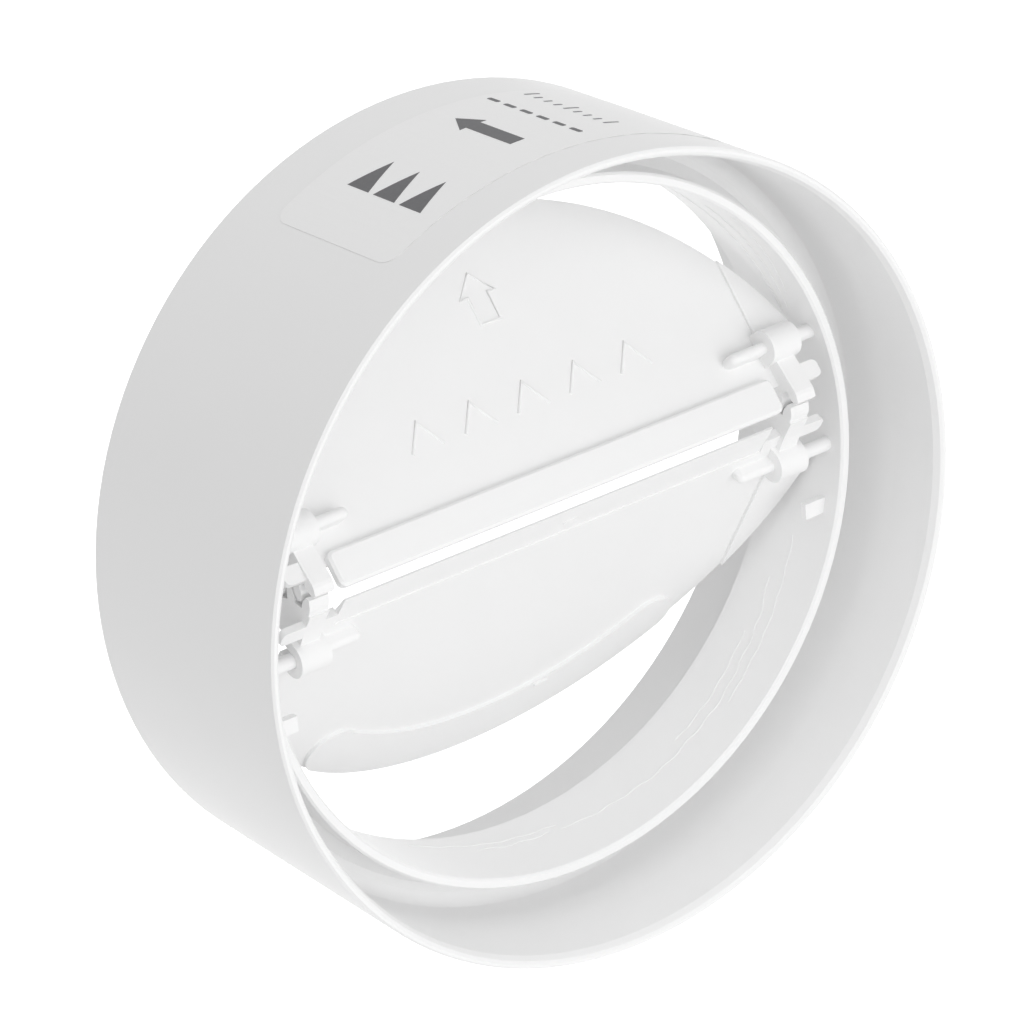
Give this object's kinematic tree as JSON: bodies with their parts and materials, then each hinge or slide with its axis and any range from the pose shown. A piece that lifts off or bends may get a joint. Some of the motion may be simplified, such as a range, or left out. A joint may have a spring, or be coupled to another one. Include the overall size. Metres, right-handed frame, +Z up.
{
  "type": "duct butterfly valve",
  "caption": "Round duct sleeve with a smaller inner ring that carries hinged butterfly flaps, geared together, which open with the air flow and fall shut against backflow.",
  "frame": {"origin": "middle of the sleeve, on the duct's axis", "axes": "+Y along the duct, the way the air flows; +Z up; X along the hinges"},
  "size_m": [0.129, 0.0474, 0.129],
  "materials": {
    "body_plastic": "satin white moulding",
    "flap_plastic": "satin white moulding"
  },
  "bodies": {
    "body": {"valve_body": "body_plastic"},
    "upper": {"upper_flap": "flap_plastic"},
    "lower": {"lower_flap": "flap_plastic"}
  },
  "joints": [
    {"name": "lower_hinge", "type": "hinge", "parent": "body", "child": "lower", "pos_m": [0, -0.0054, -0.0043], "axis": [1, 0, 0], "range_deg": [-32.1, 30]},
    {"name": "upper_hinge", "type": "hinge", "parent": "body", "child": "upper", "pos_m": [0, -0.0054, 0.01585], "axis": [-1, 0, 0], "range_deg": [-39, 36.5]}
  ],
  "couplings": [
    {"joint": "upper_hinge", "follows": "lower_hinge", "ratio": 1.2143}
  ]
}
